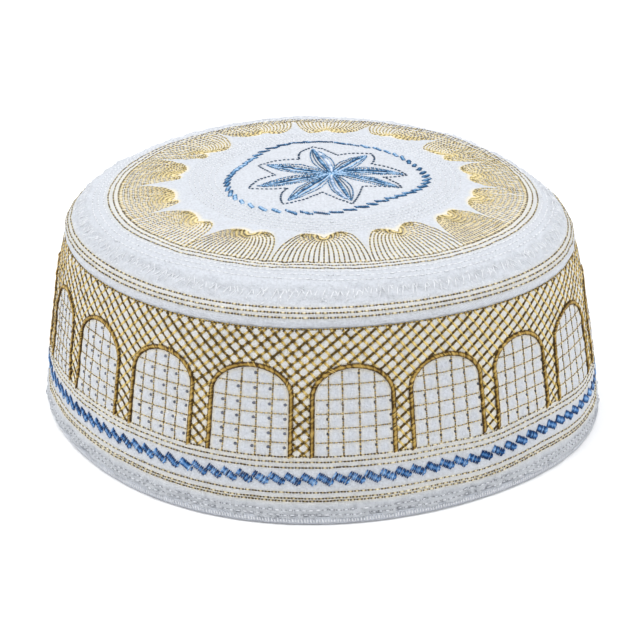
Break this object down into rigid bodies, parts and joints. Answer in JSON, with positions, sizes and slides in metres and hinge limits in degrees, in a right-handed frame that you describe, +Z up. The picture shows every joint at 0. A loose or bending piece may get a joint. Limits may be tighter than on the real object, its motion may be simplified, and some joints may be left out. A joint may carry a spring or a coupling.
{
  "type": "prayer cap",
  "caption": "Round soft-quilted prayer cap with a flat crown, rounded rim and upright side band, embroidered with arches, lattice, shells and a flower.",
  "frame": {"origin": "centre of the underside of the hem, on the surface that the cap stands on", "axes": "+Z up through the middle of the crown, -Y towards the side that the picture shows"},
  "size_m": [0.1872, 0.1888, 0.0802],
  "materials": {
    "quilted_cloth": "matt white cotton, finely woven, quilted",
    "binding_cloth": "matt white cotton, folded and stitched",
    "gold_thread": "glossy gold thread with dark ends",
    "blue_thread": "glossy blue embroidery thread",
    "white_thread": "soft white sewing thread"
  },
  "bodies": {
    "root": {"crown_panel": "quilted_cloth", "side_band": "quilted_cloth", "hem_binding": "binding_cloth"}
  },
  "joints": []
}
